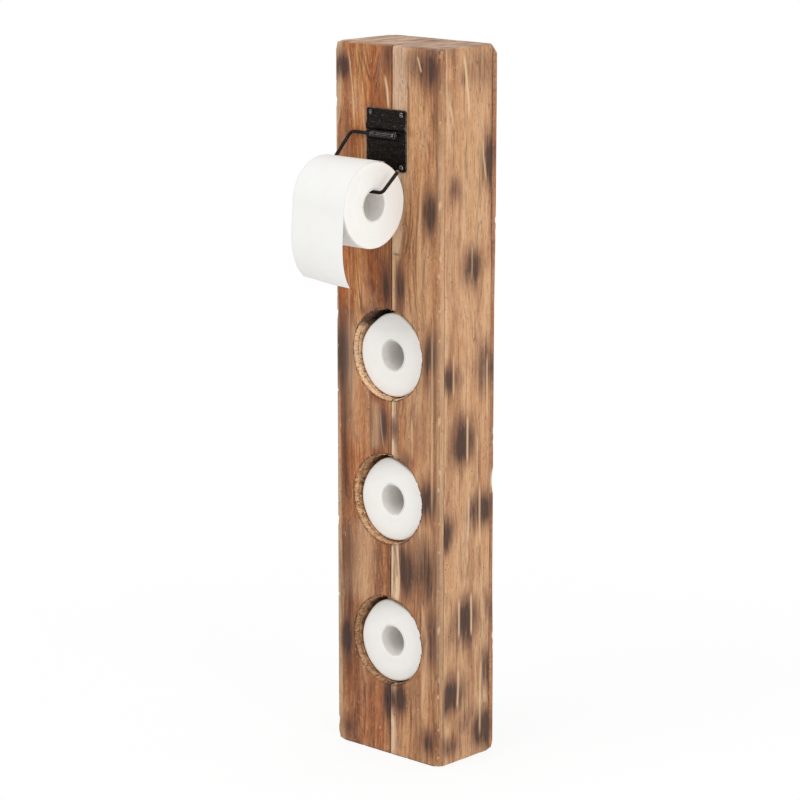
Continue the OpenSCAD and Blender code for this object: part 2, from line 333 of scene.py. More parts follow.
        saw = noise(scaled(place, (0.35, 1, 9)), 24.0, 1.0) * 0.7 + streaks * 0.12
        colour = blend(step_up(saw, 0.44, 0.52) * coarse * 0.22, colour, tone(84, 54, 40))

    height = fibres * 0.45 + streaks * 0.5 - pore * 0.8 - late * 0.25 + bored * torn * 2.0
    feed(shader, Base_Color=colour, Roughness=0.56 + fibres * 0.16, Specular_IOR_Level=0.22,
         Normal=bumps(height, 0.5, 0.3 * mm))
    return finish


def lattice_noise(points, cell, seed):
    """Smooth noise from -1 to 1 at points, whose grains are cell long along x, y and z."""
    count = 37
    lattice = np.random.default_rng(seed).uniform(-1, 1, (count, count, count))
    at = points / (np.array(cell) * mm)
    base = np.floor(at).astype(int)
    part = at - base
    part = part * part * (3 - 2 * part)
    total = np.zeros(len(points))
    for corner in np.ndindex(2, 2, 2):
        i, j, k = ((base + corner) % count).T
        total += np.prod(np.where(corner, part, 1 - part), axis=1) * lattice[i, j, k]
    return total


def soft_step(value, start, end):
    share = np.clip((value - start) / (end - start), 0, 1)
    return share * share * (3 - 2 * share)


def read_points(items, kind="co"):
    """A vector of every vertex or face of a mesh."""
    values = np.zeros(len(items) * 3)
    items.foreach_get(kind, values)
    return values.reshape(-1, 3)


def move_points(mesh, points):
    mesh.vertices.foreach_set("co", points.ravel())
    mesh.update()


def new_piece(name, data):
    """A new object in the scene."""
    piece = bpy.data.objects.new(name, data)
    bpy.context.scene.collection.objects.link(piece)
    return piece


def final_mesh(piece):
    """A plain mesh of a piece as its modifiers leave it."""
    evaluated = piece.evaluated_get(bpy.context.evaluated_depsgraph_get())
    return bpy.data.meshes.new_from_object(evaluated)


def even_copy(name, cell):
    """A CAD node's shape as a new closed mesh of even faces."""
    copy = nodes[name].data.copy()
    shape = bmesh.new()
    shape.from_mesh(copy)
    bmesh.ops.remove_doubles(shape, verts=shape.verts, dist=1e-6)
    shape.to_mesh(copy)
    shape.free()
    maker = new_piece(name + "_maker", copy)
    remesh = maker.modifiers.new("even", "REMESH")
    remesh.mode = "VOXEL"
    remesh.voxel_size = cell
    mesh = final_mesh(maker)
    bpy.data.objects.remove(maker)
    return mesh


def from_bores(points):
    """Distance of each point from the nearest bore's wall, and the way out of that bore."""
    distance = np.full(len(points), np.inf)
    outward = np.zeros((len(points), 3))
    for height in bore_heights:
        arm = np.stack([points[:, 0], np.zeros(len(points)), points[:, 2] - height], axis=1)
        length = np.maximum(np.linalg.norm(arm, axis=1), mm)
        gap = length - bore_radius
        nearer = np.abs(gap) < np.abs(distance)
        distance = np.where(nearer, gap, distance)
        outward[nearer] = arm[nearer] / length[nearer, None]
    return distance, outward


def flatten_glued(mesh, glued):
    """Joins each glued side's small faces into one, where nobody sees them, away from the screws
    and the bores. glued holds (axis, lowest place, highest place)."""
    centres, normals = read_points(mesh.polygons, "center"), read_points(mesh.polygons, "normal")
    shape = bmesh.new()
    shape.from_mesh(mesh)
    faces = list(shape.faces)
    plate_low, plate_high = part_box("wall_plate")
    kept = (centres[:, 2] > plate_low.z) & (centres[:, 2] < plate_high.z)
    kept = kept | (np.abs(from_bores(centres)[0]) < 2 * chip_reach)
    for axis, low, high in glued:
        across = centres[:, axis]
        flat = (np.abs(normals[:, axis]) > 0.9995) & (across > low) & (across < high) & ~kept
        joined = [faces[i] for i in np.flatnonzero(flat)]
        bmesh.ops.dissolve_faces(shape, faces=joined, use_verts=True)
    shape.to_mesh(mesh)
    shape.free()


def block_noise(points, cell, seed):
    """One random number from 0 to 1 for each chip-sized block of wood."""
    shift = np.stack([lattice_noise(points, cell, seed + i) for i in (1, 2, 3)], axis=1)
    i, j, k = (np.floor(points / (np.array(cell) * mm) + 0.45 * shift).astype(int) % 31).T
    return np.random.default_rng(seed).uniform(0, 1, (31, 31, 31))[i, j, k]


def wear(mesh, seed):
    """Wears a board's outer faces and edges inwards and tears its bores outwards. Returns its points as they were,
    and how far each one is worn, bored and cut across, how much painted shade it gets in its bores and behind the
    plate's window, and how dark its edges and lips are, with a painted shadow along the foot."""
    points, normals = read_points(mesh.vertices), read_points(mesh.vertices, "normal")
    gaps = np.minimum(points - column_low, column_high - points)
    nearest = np.sort(gaps, axis=1)
    outer = 1 - soft_step(nearest[:, 0], 0.5 * mm, 3 * mm)
    edge = np.clip(1 - np.hypot(nearest[:, 0], nearest[:, 1]) / edge_reach, 0, 1)
    nick = soft_step(lattice_noise(points, nick_grain, seed + 1), 0.45, 0.75)
    waves = 0.5 + 0.5 * lattice_noise(points, wave_grain, seed + 2)
    corner = np.clip(1 - np.linalg.norm(gaps, axis=1) / corner_reach, 0, 1)
    inward = (outer * wave_depth * waves + edge * (edge_depth + nick_depth * nick)
              + corner * corner_depth)

    wall, outward = from_bores(points)
    before_board = points[:, 1] < board_y + mm
    bored = (1 - soft_step(np.abs(wall), 0.7 * mm, 1.7 * mm)) * before_board
    tear = block_noise(points, tear_grain, seed + 3)
    front = points[:, 1] - column_low[1]
    rim = np.clip(1 - np.hypot(wall, front) / chip_reach, 0, 1)
    chip = block_noise(points, chip_grain, seed + 7) ** 1.5
    moved = points - normals * inward[:, None]
    slope = 1 / chip_size
    short = np.clip(1 - (column_high - moved) @ slope, 0, 1)
    moved -= short[:, None] * slope / (slope @ slope)
    moved += outward * (bored * tear * tear_depth)[:, None]
    moved += outward * (rim * chip * chip_depth)[:, None] * (wall < 1.5 * mm)[:, None]
    moved[:, 1] += rim * chip * chip_depth * (front < 2 * mm)
    move_points(mesh, moved)
    bored = np.maximum(bored, soft_step(rim * (0.3 + chip), 0.35, 0.6))
    top = soft_step(normals[:, 2], 0.5, 0.9) * (points[:, 2] > column_high[2] - 4 * mm)
    # Painted shade: the upper part of each bore's wall is darkened, more strongly above half a metre
    angle = np.degrees(np.arctan2(outward[:, 2], outward[:, 0]))
    deep = soft_step(angle, *shade_starts) * (1 - soft_step(angle, *shade_ends))
    deep = deep * (np.abs(wall) < 2 * mm) * before_board
    # Painted shade: the wood seen through the plate's window is painted near black
    window = (np.abs(points[:, 0]) < window_half[0]) & (
        np.abs(points[:, 2] - window_height) < window_half[1])
    deep = np.maximum(deep * (0.35 + 0.45 * (points[:, 2] > 0.5)), 1.2 * (window & (front < mm)))
    arris = 1 - soft_step(np.hypot(gaps[:, 0], front), 0.6 * mm, 1.8 * mm)
    arris *= np.interp(points[:, 2], (0.45, 0.6, 0.93, 0.96), (1, 0.3, 0.3, 1.2))
    # Painted shadow: a dark line along the column's foot, where it stands on the floor
    arris = np.maximum(arris, 1.4 - 1.4 * soft_step(points[:, 2], 0.8 * mm, 3 * mm))
    lip = 1.4 * np.exp(-((wall - 2.8 * mm) / (1.1 * mm)) ** 2) * (front < mm)
    dark_edge = np.maximum(arris * (0.5 + 0.3 * waves) * (1 - nick), lip * (0.2 + 0.8 * tear))
    return points, {
        "worn": edge * nick, "bored": bored, "end": top, "char": deep, "seam": dark_edge}


def marked(across, height, marks):
    """Depth at each point of a torch's brushed marks: (across, height, half width, half height,
    depth) in mm."""
    depth = np.zeros(len(across))
    brush = lattice_noise(np.stack([across, 0 * across, height], axis=1), brush_grain, 5)
    for mark_across, mark_height, half_width, half_height, most in marks:
        reach = np.hypot((across / mm - mark_across) / half_width,
                         (height / mm - mark_height) / half_height + 0.16 * brush) ** 2.0
        smoke = 0.76 * np.exp(-reach) + 0.24 * np.exp(-reach / 4)
        depth = np.maximum(depth, most * (1 + 0.2 * brush) * smoke)
    return depth


def streaked(across, height, streaks):
    """Depth at each point of streaks that follow the grain: (half width, depth, and then the
    height and place across of each point along the streak) in mm."""
    depth = np.zeros(len(across))
    for half_width, most, *path in streaks:
        heights, places = zip(*sorted(zip(path[::2], path[1::2])))
        line = np.interp(height / mm, heights, places)
        length = heights[-1] - heights[0]
        ends = soft_step(height / mm, heights[0], heights[0] + 0.2 * length)
        ends = ends * (1 - soft_step(height / mm, heights[-1] - 0.2 * length, heights[-1]))
        depth = np.maximum(depth, most * ends * np.exp(-((across / mm - line) / half_width) ** 2))
    return depth


def lay_marks(values, across, height, scorches, shades, creams, facing=1.0):
    """Adds scorches, dark streaks and pale streaks, as far as each point belongs to the face. The painted shade
    from wear is kept with the scorches.
    """
    values["scorch"] = np.maximum(marked(across, height, scorches) * facing, values.pop("char"))
    values["shade"] = streaked(across, height, shades) * facing
    values["cream"] = streaked(across, height, creams) * facing


def mark_points(mesh, name, values):
    """Stores one number for each point, under a name that materials read."""
    layer = mesh.attributes.new(name, "FLOAT", "POINT")
    layer.data.foreach_set("value", np.ascontiguousarray(values, np.float32))


def show(piece, body, slot, *replaced):
    """Gives a finished piece its body in place of its CAD nodes, and shades it smooth. Its slot is not used."""
    piece.data.shade_smooth()
    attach(piece, body)
    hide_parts(*replaced)


def finish_board(name, mesh, finish, values):
    """Gives a board its marks and its finish, in the place of its CAD node."""
    for mark, value in values.items():
        mark_points(mesh, mark, value)
    mesh.materials.clear()
    mesh.materials.append(finish)
    show(new_piece(name + "_wood", mesh), "column", name, name)


def make_stave(name, wear_seed, side, sap_edge, sap_blur, seam_edge, finish, *marks):
    """One front stave. side is -1 left of the glued joint between the staves and 1 right of it, sap_edge is the
    line up to which its sapwood goes, and seam_edge is where that joint's shadow starts and ends, in mm."""
    mesh = even_copy(name, stave_cell)
    flatten_glued(mesh, [(1, core_y - glue_line, core_y + glue_line), (0, 4 * mm, 10 * mm)])
    points, values = wear(mesh, wear_seed)
    x, y, z = points.T
    edge_heights, edge_places = zip(*sap_edge)
    sap_line = np.interp(z / mm, edge_heights, edge_places)
    values["sap"] = soft_step(sap_line - x / mm, -sap_blur, sap_blur)
    lay_marks(values, x, z, *marks)
    from_seam = side * (x - (seam_foot + (seam_top - seam_foot) * z / column_high[2])) / mm
    behind = 0.65 - 0.65 * soft_step(core_y - y, 0.2 * mm, 1.3 * mm)
    values["seam"] = np.max([values["seam"], 1 - soft_step(from_seam, *seam_edge), behind], axis=0)
    finish_board(name, mesh, finish, values)


left_scorches = [
    (-82, 967, 14, 19, 0.95), (2, 986, 9, 24, 0.6), (-84, 566, 18, 56, 0.85), (-2, 669, 9, 36, 0.8),
    (-40, 632, 26, 10, 0.35), (-7, 472, 10, 32, 0.95), (-79, 157, 11, 28, 1.0),
    (-77, 24, 16, 20, 0.6), (1, 80, 9, 29, 1.2), (-60, 300, 16, 40, 0.25), (-30, 90, 12, 24, 0.25),
]
left_shades = [
    (1.6, 0.8, 992, -49, 962, -37, 944, -29), (1.6, 0.8, 992, -14, 964, -20, 944, -28),
    (1.3, 0.6, 1000, -58, 960, -46, 900, -35), (1.3, 0.6, 1000, -9, 950, -18, 900, -33),
    (1.2, 0.7, 1004, -42, 975, -35, 962, -31), (1.2, 0.7, 1004, -22, 975, -27, 962, -31),
    (2.0, 0.6, 1004, 4, 975, 3, 938, 2), (1.6, 0.6, 1004, -4, 970, -4, 940, -6),
    (1.2, 0.5, 1000, -62, 960, -56, 900, -53), (6, 0.9, 660, -80, 450, -81, 320, -79),
    (7, 0.75, 345, -76, 220, -75, 60, -76), (1.4, 0.6, 304, -18, 268, -21, 231, -16),
    (1.8, 0.6, 600, -66, 500, -70, 380, -68), (5, 0.35, 700, -12, 650, -14, 636, -30),
    (1.2, 0.7, 320, -88, 160, -87, 20, -85), (7, 0.45, 1010, -4, 960, -3, 905, -2),
    (1.2, 0.5, 304, -11, 260, -8, 231, -10), (2.2, 0.65, 925, 5, 640, 3, 520, 2),
    (2.4, 0.7, 520, 2, 300, 2, 95, 1), (1.3, 0.5, 820, -30, 740, -36, 650, -34),
    (1.6, 0.4, 830, -60, 720, -64, 640, -60), (1.5, 0.55, 120, -50, 60, -42, 10, -46),
    (1.2, 0.5, 500, -28, 470, -22, 435, -24), (4, 0.45, 960, -78, 900, -74, 820, -76),
    (1.6, 0.8, 340, -77, 294, -75, 255, -70, 214, -68, 170, -67),
    (1.1, 0.8, 340, -89, 284, -86, 244, -84, 170, -81), (1.0, 0.7, 300, -93, 226, -90, 180, -88),
    (1.0, 0.7, 286, -29, 258, -27, 230, -22), (1.2, 0.8, 308, -19, 285, -20, 251, -11, 232, -7),
    (1.0, 0.7, 312, -14, 290, -13, 255, -7), (7, 0.35, 320, -82, 278, -76, 200, -70),
    (1.0, 0.6, 300, -46, 289, -40, 280, -38), (1.8, 0.95, 284, 5, 262, 6, 228, 5),
]
left_creams = [
    (1.4, 0.55, 1000, -75, 973, -69, 941, -65, 880, -60), (2.0, 0.85, 962, -5, 940, 0, 912, 3),
    (1.3, 0.4, 500, -14, 470, -12, 438, -6), (9, 0.35, 515, -24, 475, -22, 432, -24),
    (1.4, 0.35, 700, -72, 600, -72, 480, -70), (2.0, 0.3, 230, -44, 170, -50, 110, -47),
    (22, 0.30, 345, -46, 280, -46, 205, -50), (16, 0.22, 640, -62, 540, -64, 420, -60),
]
left_sap_edge = [
    (0, -86), (200, -85), (340, -88), (610, -91), (700, -95), (880, -93), (905, -86), (940, -84),
    (1000, -83),
]

red_teak = teak(
    "red_teak",
    [(88, 44, 26), (136, 76, 42), (170, 102, 57), (198, 134, 80), (230, 178, 124)],
    [(82, 47, 29), (136, 84, 53), (172, 113, 74), (202, 147, 102), (230, 184, 140)],
    tone(108, 62, 40), [(0.2, tone(166, 130, 98)), (0.8, tone(212, 176, 138))],
    pith=(-30, -11), lean=(0.0, -0.052), ring_width=9.0, bowed=22, seed=3.0, mixed=0.32)
make_stave("front_stave_left", 11, -1, left_sap_edge, 1.5, (0.4, 1.6), red_teak,
           left_scorches, left_shades, left_creams)

right_scorches = [
    (60, 978, 27, 27, 0.62), (86, 930, 10, 50, 0.3), (79, 780, 15, 33, 0.92),
    (24, 675, 10, 36, 0.72), (80, 584, 15, 36, 0.85), (60, 560, 20, 40, 0.35),
    (13, 472, 7, 22, 0.6), (34, 432, 15, 20, 0.5), (58, 480, 30, 60, 0.36), (76, 380, 17, 31, 1.0),
    (29, 276, 8, 36, 1.1), (40, 272, 17, 40, 0.8), (72, 276, 28, 56, 0.72), (80, 974, 15, 34, 0.85),
    (64, 984, 16, 22, 0.5), (78, 566, 22, 60, 0.5), (21, 662, 8, 36, 0.5), (16, 717, 7, 1.6, 0.95),
    (84, 186, 17, 58, 0.7), (25, 87, 10, 25, 1.0), (11, 84, 8, 18, 0.75), (78, 33, 20, 24, 0.7),
    (50, 100, 20, 20, 0.3), (60, 200, 16, 30, 0.28),
]
right_shades = [
    (1.2, 0.6, 1000, 38, 900, 39, 832, 40), (2.6, 0.6, 830, 42, 780, 43, 745, 40, 700, 28),
    (1.0, 0.8, 972, 37, 969, 39, 964, 48, 960, 52), (1.5, 0.5, 720, 27, 690, 20, 650, 19),
    (1.4, 0.55, 1000, 91, 860, 91, 760, 92), (2.2, 0.5, 640, 88, 500, 88, 340, 89),
    (1.5, 0.5, 830, 58, 700, 52, 640, 55), (1.2, 0.45, 310, 50, 260, 54, 200, 66),
    (1.5, 0.5, 230, 12, 180, 15, 120, 18), (1.6, 0.4, 330, 90, 200, 90, 20, 91),
    (1.2, 0.8, 1010, 91, 988, 94, 960, 92), (2.6, 0.5, 312, 13, 284, 15, 248, 13),
    (4, 0.6, 712, 21, 670, 21, 625, 20), (2.4, 0.65, 702, 30, 665, 29, 615, 27),
    (1.2, 0.7, 298, 16, 270, 12, 253, 13, 235, 16), (1.0, 0.8, 316, 23, 280, 22, 226, 22),
    (1.2, 0.6, 690, 49, 670, 51, 642, 54), (4, 0.45, 520, 19, 470, 19, 425, 20),
    (1.2, 0.6, 676, 41, 655, 42, 636, 43),
]
right_creams = [
    (1.2, 0.8, 990, 55, 978, 59, 966, 63), (1.8, 0.45, 645, 83, 480, 83, 335, 83),
    (1.6, 0.3, 820, 62, 740, 60, 660, 64), (1.6, 0.4, 500, 45, 460, 47, 430, 46),
    (3.0, 0.8, 64, 9, 40, 11, -4, 9), (1.4, 0.4, 300, 14, 260, 15, 235, 13),
    (3.0, 0.25, 250, 60, 180, 74, 60, 62), (1.6, 0.85, 318, 17, 290, 20, 262, 22, 222, 21),
    (1.5, 0.75, 318, 9, 280, 9, 250, 9, 224, 9), (3.2, 0.75, 268, 18, 246, 18, 220, 17),
    # The wide pale streak from 704 to 850 mm lies on the sapwood under the hanging roll, and is partly painted
    # light that lifts the roll's shadow there
    (6, 0.3, 1000, 98, 500, 98, 0, 98), (9, 0.55, 850, 24, 760, 17, 704, 13),
    (2.2, 0.6, 730, 11, 670, 11, 596, 12), (2.0, 0.65, 524, 10, 505, 10, 486, 9),
    (2.0, 0.6, 460, 10, 445, 10, 428, 10),
]
right_sap_edge = [
    (0, 17), (24, 19), (44, 17), (64, 13), (80, 16), (102, 17), (238, 23), (271, 24), (310, 23),
    (440, 18), (475, 17), (511, 16), (640, 4), (711, 4), (716, 19), (730, 25), (791, 34), (925, 37),
    (1000, 37),
]

brown_colours = [(120, 75, 47), (170, 119, 80), (198, 146, 103), (215, 167, 122), (236, 197, 155)]
brown_teak = teak(
    "brown_teak", brown_colours, brown_colours, tone(116, 74, 50),
    [(0.1, tone(172, 130, 100)), (0.9, tone(230, 197, 166))],
    pith=(160, 40), lean=(-0.01, 0.02), ring_width=8.0, bowed=16, seed=17.0, mixed=0.30)
make_stave("front_stave_right", 23, 1, right_sap_edge, 0.8, (0.3, 1.2), brown_teak,
           right_scorches, right_shades, right_creams)

# Core beams
# Two thick beams of planed teak behind the front staves, each with half of every bore. The right
# one's outer face is a side of the column, with an oval knot figure near the top and long creamy
# splinter lines between the scorches.
core_cell = 1.6 * mm
core_seam_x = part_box("core_beam_right")[0].x
glued_core = [(axis, place - glue_line, place + glue_line)
              for axis, place in ((1, core_y), (1, board_y), (0, core_seam_x))]

# Marks on a side are placed by their depth behind the column's front face
side_scorches = [
    (101, 844, 16, 37, 0.95), (31, 811, 14, 20, 0.6), (66, 701, 21, 28, 0.85),
    (20, 551, 20, 22, 0.85), (94, 560, 21, 37, 0.72), (50, 461, 23, 32, 0.98),
    (86, 356, 26, 26, 0.95), (14, 335, 18, 26, 0.9), (57, 202, 26, 34, 1.0),
    (104, 217, 13, 27, 0.5), (24, 102, 30, 27, 0.9), (101, 124, 18, 38, 0.75),
    (97, 37, 26, 31, 1.05), (25, 26, 25, 18, 0.62), (84, 974, 40, 40, 0.40), (47, 963, 15, 19, 0.4),
    (60, 56, 30, 25, 0.42), (64, 150, 18, 25, 0.32), (70, 110, 34, 22, 0.25), (8, 180, 9, 67, 0.35),
]
side_shades = [
    (1.4, 0.5, 900, 30, 870, 27, 830, 28), (1.2, 0.5, 890, 55, 860, 52, 830, 49),
    (1.6, 0.35, 870, 84, 800, 80, 740, 70), (1.4, 0.4, 700, 88, 660, 84, 610, 70),
    (1.3, 0.5, 310, 85, 290, 84, 250, 91), (2.0, 0.45, 500, 106, 420, 106, 330, 106),
    (1.2, 0.4, 520, 72, 460, 80, 390, 84), (1.4, 0.5, 60, 43, 30, 46, 2, 50),
    (2.6, 0.4, 990, 103, 900, 104, 700, 105), (1.2, 0.45, 975, 14, 940, 20, 905, 29),
    (1.2, 0.4, 996, 76, 985, 86, 960, 100, 930, 104), (1.1, 0.35, 992, 66, 972, 78, 940, 90),
    (9, 0.32, 1004, 28, 991, 27, 974, 30), (1.3, 0.7, 965, 13, 939, 18, 915, 25),
    (1.4, 0.4, 380, 60, 300, 63, 180, 44),
]
side_creams = [
    (2.2, 0.8, 1000, 45, 970, 51, 930, 57, 900, 58), (1.3, 0.6, 950, 18, 920, 22, 890, 27),
    (1.4, 0.6, 880, 87, 850, 88, 812, 95), (1.0, 0.5, 735, 66, 705, 66, 680, 65),
    (1.6, 0.65, 590, 29, 550, 29, 520, 29), (1.5, 0.6, 580, 98, 540, 98, 480, 99),
    (1.7, 0.85, 500, 58, 460, 58, 425, 58), (1.3, 0.5, 470, 79, 430, 79, 390, 80),
    (1.6, 0.7, 390, 61, 350, 61, 310, 60), (1.8, 0.7, 400, 84, 350, 84, 300, 86),
    (1.5, 0.8, 240, 42, 200, 42, 175, 42), (1.7, 0.85, 245, 67, 205, 68, 175, 68),
    (1.8, 0.7, 140, 41, 110, 41, 75, 39), (1.8, 0.6, 150, 89, 100, 87, 20, 87),
    (1.8, 0.5, 290, 10, 200, 10, 60, 10), (1.6, 0.4, 1000, 13, 900, 16, 860, 22),
    (1.4, 0.4, 280, 88, 240, 89, 190, 89),
]
other_scorches = [
    (30, 880, 13, 26, 0.7), (84, 800, 14, 24, 0.7), (48, 690, 16, 24, 0.75), (96, 600, 12, 26, 0.6),
    (24, 520, 14, 26, 0.8), (70, 410, 16, 24, 0.7), (30, 300, 12, 26, 0.75), (88, 240, 14, 22, 0.7),
    (46, 140, 16, 24, 0.75), (90, 60, 12, 22, 0.6), (16, 40, 10, 24, 0.6),
]
other_creams = [
    (1.8, 0.7, 940, 62, 860, 58, 780, 60), (1.5, 0.6, 620, 30, 540, 31, 470, 28),
    (1.6, 0.6, 440, 76, 400, 75, 350, 78), (1.6, 0.5, 200, 44, 140, 46, 80, 43),
]
other_shades = [
    (1.5, 0.5, 980, 40, 880, 46, 760, 42), (1.6, 0.5, 700, 84, 560, 80, 420, 86),
    (1.5, 0.5, 360, 22, 240, 27, 120, 24), (2.4, 0.4, 600, 104, 400, 103, 200, 104),
]

side_colours = [(166, 116, 78), (196, 147, 106), (208, 162, 121), (215, 172, 132), (228, 191, 153)]
side_teak = teak(
    "side_teak", side_colours, side_colours, tone(160, 112, 80),
    [(0.2, tone(200, 166, 136)), (0.8, tone(226, 198, 170))],
    pith=(-40, -20), lean=(0.01, 0.03), ring_width=22.0, bowed=9, seed=31.0, mixed=0.16)
for name, wear_seed, *marks in (
        ("core_beam_right", 37, side_scorches, side_shades, side_creams),
        ("core_beam_left", 53, other_scorches, other_shades, other_creams)):
    mesh = even_copy(name, core_cell)
    flatten_glued(mesh, glued_core)
    points, values = wear(mesh, wear_seed)
    x, y, z = points.T
    values["sap"] = np.zeros(len(points))
    lay_marks(values, y - column_low[1], z, *marks, soft_step(np.abs(x), 0.06, 0.08))
    joints = np.min([y - core_y + 0.5 * mm, board_y - y, np.abs(x - core_seam_x)], axis=0)
    values["seam"] = 0.8 * (1 - soft_step(joints, 0.2 * mm, 1.6 * mm)) * (1 - values["bored"])
    finish_board(name, mesh, side_teak, values)

# Back board
# One thin board, rough from the saw, glued on behind. It closes the bores, so the spare rolls
# stand against it, and its red-brown edge shows down both sides of the column.
back_cell = 2.2 * mm
notch_height = 0.392
notch_half = 19 * mm
notch_depth = 2.4 * mm
drawn_in = [(0, 0), (150, 0.6), (250, 2.4), (560, 2.4), (650, 2.0), (760, 0.4), (1000, 0)]
edge_scorches = [(100, height, 10, 24, 0.5) for height in (850, 553, 360, 205, 38)]

mesh = even_copy("back_board", back_cell)
points, values = wear(mesh, 71)
x, y, z = points.T
edge_gap = np.hypot(column_high[0] - x, column_high[1] - y)
notch = np.clip(1 - ((z - notch_height) / notch_half) ** 2, 0, 1)
notch = notch * (1 - soft_step(edge_gap, 6 * mm, 12 * mm))
moved = read_points(mesh.vertices)
heights, insets = zip(*drawn_in)
inset = np.interp(z / mm, heights, insets) * mm
inset = inset * soft_step(x, column_high[0] - 8 * mm, column_high[0])
moved[:, 0] -= notch * notch_depth + inset
move_points(mesh, moved)
del values["char"]
for mark in ("sap", "shade", "bored"):
    values[mark] = np.zeros(len(points))
outer = np.abs(x) > 0.09
values["scorch"] = marked(np.full(len(points), 100 * mm), z, edge_scorches) * outer
values["cream"] = notch * 0.6
values["seam"] = (1 - soft_step(y - board_y, 0.3 * mm, 1.6 * mm)) * outer
rough_colours = [(104, 62, 40), (146, 96, 64), (166, 112, 78), (182, 130, 94), (206, 160, 122)]
rough_teak = teak(
    "rough_teak", rough_colours, rough_colours, tone(92, 56, 38),
    [(0.2, tone(170, 130, 100)), (0.8, tone(200, 164, 134))],
    pith=(60, 130), lean=(0.0, 0.04), ring_width=10.0, bowed=14, seed=43.0, mixed=0.2, coarse=1.0)
finish_board("back_board", mesh, rough_teak, values)

# Wall plate
# One sheet of forged steel, 1.8 mm thick, in black lacquer. A bead is pressed across it, and a
# tongue lanced out of its window curls round the wire as a knuckle. Four screws hold it down.
plate_cell = 0.55 * mm
dent_depth = 0.22 * mm
plate_round = 5.5 * mm
pinned_reach = 5.2 * mm
groove_depth = 0.3 * mm
groove_count = 11
knuckle_skin = 3.6 * mm
curl_start = 2.3 * mm
rubbed_reach = 1.6 * mm
joints = {joint["name"]: joint for joint in frame["joints"]}
pivot = np.array(joints["arm_swing"]["pos_m"])
plate_low, plate_high = (np.array(corner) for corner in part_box("wall_plate"))


def lacquered(name, film, patch, bare, hammer, smooth, rough):
    """Black lacquer on steel: patchy, dented by the hammer, and light where its attribute says: worn to the steel
    along worn edges, and painted highlights where they are marked.
    """
    finish, shader, start = new_finish(name)
    place = own_place(start)
    scale = noise(place, 150.0, 4.0, 0.65)
    specks = noise(place, 620.0, 2.0, 0.6)
    worn_and_highlit = attribute(start, "rubbed") * step_up(specks + scale * 0.6, 0.62, 0.86)
    colour = blend(step_up(scale, 0.40, 0.66), film, patch)
    colour = blend(step_up(specks, 0.62, 0.76) * 0.4, colour, bare)
    colour = blend(worn_and_highlit * 0.85, colour, bare)
    feed(shader, Base_Color=colour, Metallic=0.7, Roughness=smooth + scale * (rough - smooth),
         Specular_IOR_Level=0.2, Normal=bumps(scale * 0.8 + specks * 0.35, 0.6, hammer))
    return finish


mesh = even_copy("wall_plate", plate_cell)
points, normals = read_points(mesh.vertices), read_points(mesh.vertices, "normal")
from_pivot = np.hypot(points[:, 1] - pivot[1], points[:, 2] - pivot[2])
dents = 0.5 + 0.5 * lattice_noise(points, (5, 40, 5), 91)
dents = dents * (from_pivot > pinned_reach) * (points[:, 1] < plate_high[1] - 0.5 * mm)
moved = points - normals * (dents * dent_depth)[:, None]
curled = (from_pivot < pinned_reach) & (points[:, 1] < plate_high[1] - curl_start)
around = np.arctan2(points[:, 2] - pivot[2], pivot[1] - points[:, 1])
groove = 0.5 + 0.5 * np.cos(around * groove_count)
outer_side = curled & (from_pivot > knuckle_skin)
moved -= normals * (groove_depth * (1 - groove) * outer_side)[:, None]
plate_middle = (plate_low + plate_high) / 2
half = (plate_high - plate_low) / 2 - plate_round
past = np.abs(moved - plate_middle) - half
past = np.stack([past[:, 0], past[:, 2]], axis=1).clip(0)
shrink = plate_round / np.maximum(np.linalg.norm(past, axis=1), plate_round)
for column, axis in enumerate((0, 2)):
    side = np.sign(moved[:, axis] - plate_middle[axis])
    moved[:, axis] += np.where(past.min(axis=1) > 0, side * past[:, column] * (shrink - 1), 0)
move_points(mesh, moved)
rim = np.min([points[:, 0] - plate_low[0], plate_high[0] - points[:, 0],
              points[:, 2] - plate_low[2], plate_high[2] - points[:, 2]], axis=0)
knuckle_end = points[curled, 0].max()
ringed = curled * soft_step(points[:, 0], knuckle_end - rubbed_reach, knuckle_end - 0.9 * mm)
# Worn steel along the plate's rim, painted highlight lines along the knuckle's ridges, and a light ring at the
# knuckle's end
mark_points(mesh, "rubbed", np.max([
    0.35 - 0.35 * soft_step(rim, 0.2 * mm, rubbed_reach), 0.55 * outer_side * groove ** 3, ringed],
    axis=0))
# The steel's own colour where worn, also used for painted highlights
bright_steel = tone(176, 170, 162)
mesh.materials.clear()
mesh.materials.append(lacquered(
    "forged_lacquer", tone(15, 11, 8), tone(33, 26, 21), bright_steel, 0.5 * mm, 0.30, 0.52))
show(new_piece("forged_plate", mesh), "column", "wall_plate", "wall_plate")

# Screws
# Four pan-head wood screws of blackened steel, with a painted highlight ring round each dome.
# Each has a cross recess, stands on the plate and runs through the staves into the core.
head_radius = 3.5 * mm
head_height = 2.2 * mm
shank_radius = 1.75 * mm
plate_thickness = 1.8 * mm
recess_length = 4.2 * mm
recess_width = 1.1 * mm
recess_depth = 1.2 * mm


def new_tree(name, **inputs):
    """A Geometry Nodes tree with named inputs, and a socket for each of them."""
    tree = bpy.data.node_groups.new(name, "GeometryNodeTree")
    for label, kind in inputs.items():
        tree.interface.new_socket(label, in_out="INPUT", socket_type="NodeSocket" + kind)
    tree.interface.new_socket("Shape", in_out="OUTPUT", socket_type="NodeSocketGeometry")
    entry = tree.nodes.new("NodeGroupInput")
    return Socket(tree), [Socket(tree, output) for output in entry.outputs if output.name]


def stored(shape, name, value, kind="FLOAT"):
    """Stores a value for each point, under a name that materials read."""
    return shape.node("GeometryNodeStoreNamedAttribute", {"data_type": kind, "domain": "POINT"}, {
        "Geometry": shape, "Name": name, "Value": value})


